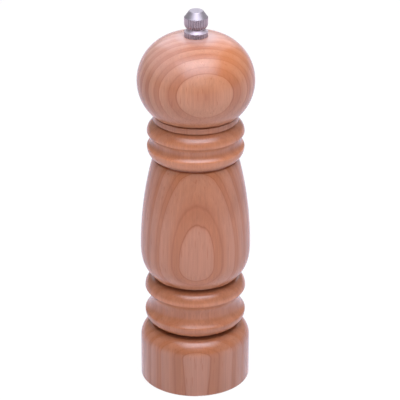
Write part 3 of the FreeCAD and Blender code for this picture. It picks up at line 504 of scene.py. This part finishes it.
# %% Metals
AROUND, ALONG, ALL_OVER = (60, 60, 5200), (4800, 4800, 60), (1500, 1500, 1500)
MARKS_BUMP = 0.3
METALS = {
    "nut_metal": ((0.63, 0.535, 0.575, 1), (0.53, 0.45, 0.485, 1), AROUND, 0.5, 0.62, 0.00002),
    "brass": ((0.75, 0.55, 0.26, 1), (0.56, 0.38, 0.16, 1), AROUND, 0.22, 0.4, 0.00002),
    "shaft_metal": ((0.80, 0.80, 0.81, 1), (0.68, 0.68, 0.69, 1), ALONG, 0.28, 0.46, 0.00003),
    "steel": ((0.62, 0.62, 0.63, 1), (0.47, 0.47, 0.49, 1), ALL_OVER, 0.26, 0.44, 0.00002),
    "screw_steel": ((0.68, 0.68, 0.70, 1), (0.60, 0.57, 0.48, 1), ALL_OVER, 0.2, 0.36, 0.00001),
    "spring_steel": ((0.46, 0.46, 0.48, 1), (0.33, 0.33, 0.36, 1), ALL_OVER, 0.18, 0.32, 0.00001),
}


def worked_metal(name, clean, tarnished, stretch, bright, dull, depth):
    """A metal with tool marks of a small depth, whose colour drifts from clean to tarnished."""
    material, tree, shader = new_material(name, Metallic=1.0)
    marks = add_node(tree, "ShaderNodeGroup", node_tree=marks_group)
    coords = tree.nodes.new("ShaderNodeTexCoord").outputs["Object"]
    for title, value in (("Vector", coords), ("Stretch", stretch), ("Bright", bright), ("Dull", dull)):
        feed(tree, marks.inputs[title], value)
    colour = mix_colours(tree, marks.outputs["Tarnish"], clean, tarnished)
    tree.links.new(colour, shader.inputs["Base Color"])
    tree.links.new(marks.outputs["Roughness"], shader.inputs["Roughness"])
    roughen(tree, shader, marks.outputs["Height"], MARKS_BUMP, depth)
    return material


metals = {finish: worked_metal(finish, *values) for finish, values in METALS.items()}
for finish, metal in metals.items():
    lay_finish(finish, metal)
print("metals laid:", ", ".join(metals))

# %% [markdown]
# The nut is knurled, and its notches hold a little dirt. Blender's own measure of hollows, Pointiness,
# depends on how fine the mesh is, so here a formula finds the notches. A point lies in one when it is
# closer to the axis than the ridges are at its height: they run at 6 mm on the rim and on the grip, and
# below the grip's bend they curve in along a quarter circle. The smooth cone and the top above the grip
# get a darker colour, a painted shade that dims the bright light they mirror.

# %% Dirt and painted shade on the nut
RIDGE, CURVE, NOTCH = 0.006, 0.003, 0.0004
RIM_TOP, GRIP_BEND, GRIP_TOP = 0.1924, 0.1968, 0.2002
DIRT_STARTS, DIRT_FULL, MOST_DIRT = 0.1 * NOTCH, 0.7 * NOTCH, 0.8
TOP_SHADE_STARTS, TOP_SHADE_FULL = GRIP_TOP - 0.0003, GRIP_TOP + 0.0002
# the second colour is a painted shade on the cone and the top above the grip
DIRT, SHADED_TOP = (0.1, 0.075, 0.085, 1), (0.41, 0.365, 0.385, 1)

tree = metals["nut_metal"].node_tree
base_colour = tree.nodes["Principled BSDF"].inputs["Base Color"]
coords = tree.nodes.new("ShaderNodeTexCoord").outputs["Object"]
split = tree.nodes.new("ShaderNodeSeparateXYZ")
tree.links.new(coords, split.inputs[0])
level = split.outputs["Z"]
below_bend = calculate(tree, "MAXIMUM", calculate(tree, "SUBTRACT", GRIP_BEND, level), 0.0)
squared = calculate(tree, "SUBTRACT", CURVE ** 2, calculate(tree, "POWER", below_bend, 2.0))
arc = calculate(tree, "POWER", calculate(tree, "MAXIMUM", squared, 0.0), 0.5)
grip = calculate(tree, "ADD", arc, RIDGE - CURVE)
rim = calculate(tree, "MULTIPLY", calculate(tree, "LESS_THAN", level, RIM_TOP), RIDGE)
ridge = calculate(tree, "MAXIMUM", grip, rim)
depth = calculate(tree, "SUBTRACT", ridge, distance_from_axis(tree, coords))
knurled = calculate(tree, "LESS_THAN", level, GRIP_TOP)
dirty = add_node(tree, "ShaderNodeMapRange", From_Min=DIRT_STARTS, From_Max=DIRT_FULL, To_Max=MOST_DIRT)
feed(tree, dirty.inputs["Value"], calculate(tree, "MULTIPLY", depth, knurled))
# painted shade: the cone and the top above the grip are darker
shaded_top = add_node(tree, "ShaderNodeMapRange", From_Min=TOP_SHADE_STARTS, From_Max=TOP_SHADE_FULL)
feed(tree, shaded_top.inputs["Value"], level)
metal = mix_colours(tree, shaded_top.outputs[0], base_colour.links[0].from_socket, SHADED_TOP)
tree.links.new(mix_colours(tree, dirty.outputs[0], metal, DIRT), base_colour)
print("nut material:", len(tree.nodes), "nodes")

# %% [markdown]
# The grinder's housing is moulded plastic with a fine matt texture, its bush is natural nylon, and the
# burr is fired ceramic with a few darker specks. None of them is quite plain on the real mill. All three
# are a fine even grain, each in its own size, so they share a group: specks over a ground that drifts
# slowly towards the specks' colour.

# %% Fine grain for the moulded and fired pieces
DRIFT_CYCLES, DRIFT_SHARE = (120, 120, 120), 0.3
SPECKS = [(0.6, 0), (0.72, 0.7)]

grain_group, grain_in, grain_out = new_group(
    "fine_grain",
    [
        ("Vector", "Vector", None),
        ("Cycles", "Float", 2500.0),
        ("Ground", "Color", (0.5, 0.5, 0.5, 1)),
        ("Speck", "Color", (0.3, 0.3, 0.3, 1)),
    ],
    [("Color", "Color", None), ("Height", "Float", None)],
)
tree = grain_group
fine = add_node(tree, "ShaderNodeTexNoise", Detail=2.0)
feed(tree, fine.inputs["Vector"], grain_in["Vector"])
feed(tree, fine.inputs["Scale"], grain_in["Cycles"])
drift = calculate(tree, "MULTIPLY", stretched_noise(tree, grain_in["Vector"], DRIFT_CYCLES), DRIFT_SHARE)
ground = mix_colours(tree, drift, grain_in["Ground"], grain_in["Speck"])
speckled = mix_colours(tree, ramp(tree, fine.outputs[0], SPECKS), ground, grain_in["Speck"])
tree.links.new(speckled, grain_out["Color"])
tree.links.new(fine.outputs[0], grain_out["Height"])
print("fine grain group:", len(tree.nodes), "nodes")

# %% [markdown]
# Again a table holds the three finishes: the colours of ground and specks, the grain's cycles per metre,
# its depth and the roughness. The ceramic has the finest grain, and the housing has the deepest.

# %% Plastics and ceramic
GRAINED = {
    "housing_plastic": ((0.035, 0.035, 0.038, 1), (0.06, 0.06, 0.065, 1), 2600, 0.00005, 0.5),
    "bush_plastic": ((0.84, 0.82, 0.75, 1), (0.76, 0.73, 0.65, 1), 1200, 0.00002, 0.35),
    "ceramic": ((0.85, 0.84, 0.80, 1), (0.72, 0.70, 0.66, 1), 3200, 0.00003, 0.42),
}
FINE_BUMP = 0.35


def grained(name, ground, speck, cycles, depth, roughness):
    """A plastic or ceramic with a fine grain of a given size and depth."""
    material, tree, shader = new_material(name, Roughness=roughness)
    grain = add_node(tree, "ShaderNodeGroup", node_tree=grain_group)
    coords = tree.nodes.new("ShaderNodeTexCoord").outputs["Object"]
    for title, value in (("Vector", coords), ("Cycles", cycles), ("Ground", ground), ("Speck", speck)):
        feed(tree, grain.inputs[title], value)
    tree.links.new(grain.outputs["Color"], shader.inputs["Base Color"])
    roughen(tree, shader, grain.outputs["Height"], FINE_BUMP, depth)
    return material


for finish, values in GRAINED.items():
    lay_finish(finish, grained(finish, *values))
print("plastics and ceramic laid:", ", ".join(GRAINED))

# %% [markdown]
# The mill stands on a plain white sheet without an end in sight. A curved backdrop could hide the
# horizon, but the camera looks down on the mill, so a flat sheet fills the picture if it is large enough.
# It reaches further behind the mill than in front. It is part of the stage and not of the mill.

# %% Floor
FLOOR_HALF, FLOOR_MIDDLE = 6.0, (0, 2, 0)

corners = np.array([[-1, -1, 0], [1, -1, 0], [1, 1, 0], [-1, 1, 0]]) * FLOOR_HALF + FLOOR_MIDDLE
sheet = bpy.data.meshes.new("floor")
sheet.from_pydata(corners.tolist(), [], [(0, 1, 2, 3)])
floor = bpy.data.objects.new("floor", sheet)
scene.collection.objects.link(floor)
print("floor corners:", corners.tolist())

# %% [markdown]
# More light would make the sheet white, but it would also wash out the wood. Instead, a share of plain
# white is mixed in, only for the camera and for what the lacquer and the metal mirror. The rest of the
# paper is diffuse and catches the mill's soft shadow. What is mirrored is brighter and cooler in front
# of the mill than behind it, like a table under a skylight. From below the paper is clear, so that the
# mill's underside can be looked at.

# %% Floor paper
PAGE_WHITE, PAGE_SHARE = (1.055, 1.045, 1.03, 1), 0.85
MIRRORED_FRONT, MIRRORED_BEHIND = (1.3, 1.23, 1.46, 1), (0.97, 0.9, 1.1, 1)
FRONT_END, BEHIND_START = -0.02, 0.05


def mix_shaders(tree, amount, first, second):
    """Mixes the outputs of two shader nodes by an amount from 0 to 1."""
    mixed = tree.nodes.new("ShaderNodeMixShader")
    for socket, value in zip(mixed.inputs, (amount, first.outputs[0], second.outputs[0])):
        tree.links.new(value, socket)
    return mixed


paper, tree, shader = new_material(
    "floor_paper", Base_Color=(0.84, 0.84, 0.84, 1), Roughness=0.9, Specular_IOR_Level=0.0
)
split = tree.nodes.new("ShaderNodeSeparateXYZ")
tree.links.new(tree.nodes.new("ShaderNodeTexCoord").outputs["Object"], split.inputs[0])
behind = add_node(tree, "ShaderNodeMapRange", From_Min=FRONT_END, From_Max=BEHIND_START)
feed(tree, behind.inputs["Value"], split.outputs["Y"])
mirrored = mix_colours(tree, behind.outputs[0], MIRRORED_FRONT, MIRRORED_BEHIND)
path = tree.nodes.new("ShaderNodeLightPath").outputs
white = tree.nodes.new("ShaderNodeEmission")
feed(tree, white.inputs["Color"], mix_colours(tree, path["Is Camera Ray"], mirrored, PAGE_WHITE))
seen = calculate(tree, "MAXIMUM", path["Is Camera Ray"], path["Is Glossy Ray"])
seen = calculate(tree, "MAXIMUM", seen, path["Is Transmission Ray"])
page = mix_shaders(tree, calculate(tree, "MULTIPLY", seen, PAGE_SHARE), shader, white)
from_below = tree.nodes.new("ShaderNodeNewGeometry").outputs["Backfacing"]
one_sided = mix_shaders(tree, from_below, page, tree.nodes.new("ShaderNodeBsdfTransparent"))
tree.links.new(one_sided.outputs[0], tree.nodes["Material Output"].inputs["Surface"])
sheet.materials.append(paper)
print("floor paper:", len(tree.nodes), "nodes")

# %% [markdown]
# The walls of the room are the world, the light that comes from all around. They could be a picture of a
# real room, but a ramp does: they are brightest near the horizon, darker upwards, and darker in front of
# the mill than behind it, where a photographer's white screen would stand.

# %% Walls of the room
WALLS_BY_HEIGHT = [(0.0, 1.0), (0.4, 1.0), (0.6, 0.5), (1.0, 0.4)]
FRONT_Y, FRONT_STRENGTH = -0.6, 0.3
BACK_Y, BACK_STRENGTH = 0.3, 0.5

world = bpy.data.worlds.new("studio_walls")
scene.world = world
world.use_nodes = True
tree = world.node_tree
split = tree.nodes.new("ShaderNodeSeparateXYZ")
tree.links.new(tree.nodes.new("ShaderNodeTexCoord").outputs["Generated"], split.inputs[0])
towards_back = add_node(tree, "ShaderNodeMapRange", From_Min=FRONT_Y, From_Max=BACK_Y)
feed(tree, towards_back.inputs["Value"], split.outputs["Y"])
feed(tree, towards_back.inputs["To Min"], FRONT_STRENGTH)
feed(tree, towards_back.inputs["To Max"], BACK_STRENGTH)
walls = tree.nodes["Background"]
tree.links.new(ramp(tree, split.outputs["Z"], WALLS_BY_HEIGHT), walls.inputs["Color"])
tree.links.new(towards_back.outputs[0], walls.inputs["Strength"])
print("world nodes:", len(tree.nodes))

# %% [markdown]
# The lamps are softboxes, as on a product photographer's table. The key hangs above and in front of the
# mill, a weaker one fills from further in front, one hangs behind, and a broad one stands low at the
# back. One rectangle would give the lacquer a highlight with a hard rim. So the key is four lamps nested
# in each other at slightly different heights: together they are bright in the middle and fade to the
# edge, as the cloth of a real softbox does. A lamp's power is its radiance times pi times its area.

# %% Softboxes
LAMP_COLOUR = (0.89, 0.94, 1.1)
MILL_MIDDLE = Vector((0, 0, 0.12))
KEY_WIDTH, KEY_DEPTH, KEY_RADIANCE = 0.76, 0.53, 1.7
KEY_NESTED = (1.3, 1.0, 0.75, 0.5)
KEY_PLACE, KEY_RISE = (0.056, -0.272, 0.744), Vector((0, 0, 0.032))
OTHER_SOFTBOXES = {
    "top_softbox": (0.8, 0.56, (0, 0.264, 0.824), 1.0),
    "front_softbox": (0.5, 0.45, (0, -0.614, 0.597), 0.9),
    "rear_softbox": (1.6, 1.0, (0, 1.2, 0.95), 1.5),
}


def softbox(name, width, depth, place, radiance):
    """A rectangular lamp at a place, turned to the middle of the mill and hidden from the camera."""
    lamp = bpy.data.lights.new(name, "AREA")
    lamp.shape = "RECTANGLE"
    lamp.size, lamp.size_y = width, depth
    lamp.energy = radiance * pi * width * depth
    lamp.color = LAMP_COLOUR
    box = bpy.data.objects.new(name, lamp)
    box.location = place
    box.rotation_euler = (Vector(place) - MILL_MIDDLE).to_track_quat("Z", "Y").to_euler()
    box.visible_camera = False
    scene.collection.objects.link(box)
    print(name, "power:", round(lamp.energy, 1), "W")


for share in KEY_NESTED:
    place = Vector(KEY_PLACE) + KEY_RISE * share
    softbox("key_softbox", KEY_WIDTH * share, KEY_DEPTH * share, place, KEY_RADIANCE)
for name, values in OTHER_SOFTBOXES.items():
    softbox(name, *values)

# %% [markdown]
# The camera looks down on the mill by 25 degrees through a long lens, from over a metre away, as the
# photograph was taken: from nearby, the head would look too large for the foot. A camera without turns
# looks straight down, so a tilt of 65 degrees raises its view. It is rolled by a quarter of a degree,
# because the mill leans that much in the picture. The Standard view transform shows colours as they are
# written.

# %% Camera
CAMERA_PLACE = (0.0023, -1.0255, 0.5790)
TILT, ROLL = radians(64.96), radians(0.23)

view = bpy.data.cameras.new("camera")
view.lens = 198
view.sensor_width = 36
camera = bpy.data.objects.new("camera", view)
turned = Matrix.Rotation(TILT, 4, "X") @ Matrix.Rotation(ROLL, 4, "Z")
camera.matrix_world = Matrix.Translation(CAMERA_PLACE) @ turned
scene.collection.objects.link(camera)
scene.camera = camera
scene.view_settings.view_transform = "Standard"
print("camera distance:", round((camera.location - MILL_MIDDLE).length, 3), "m")
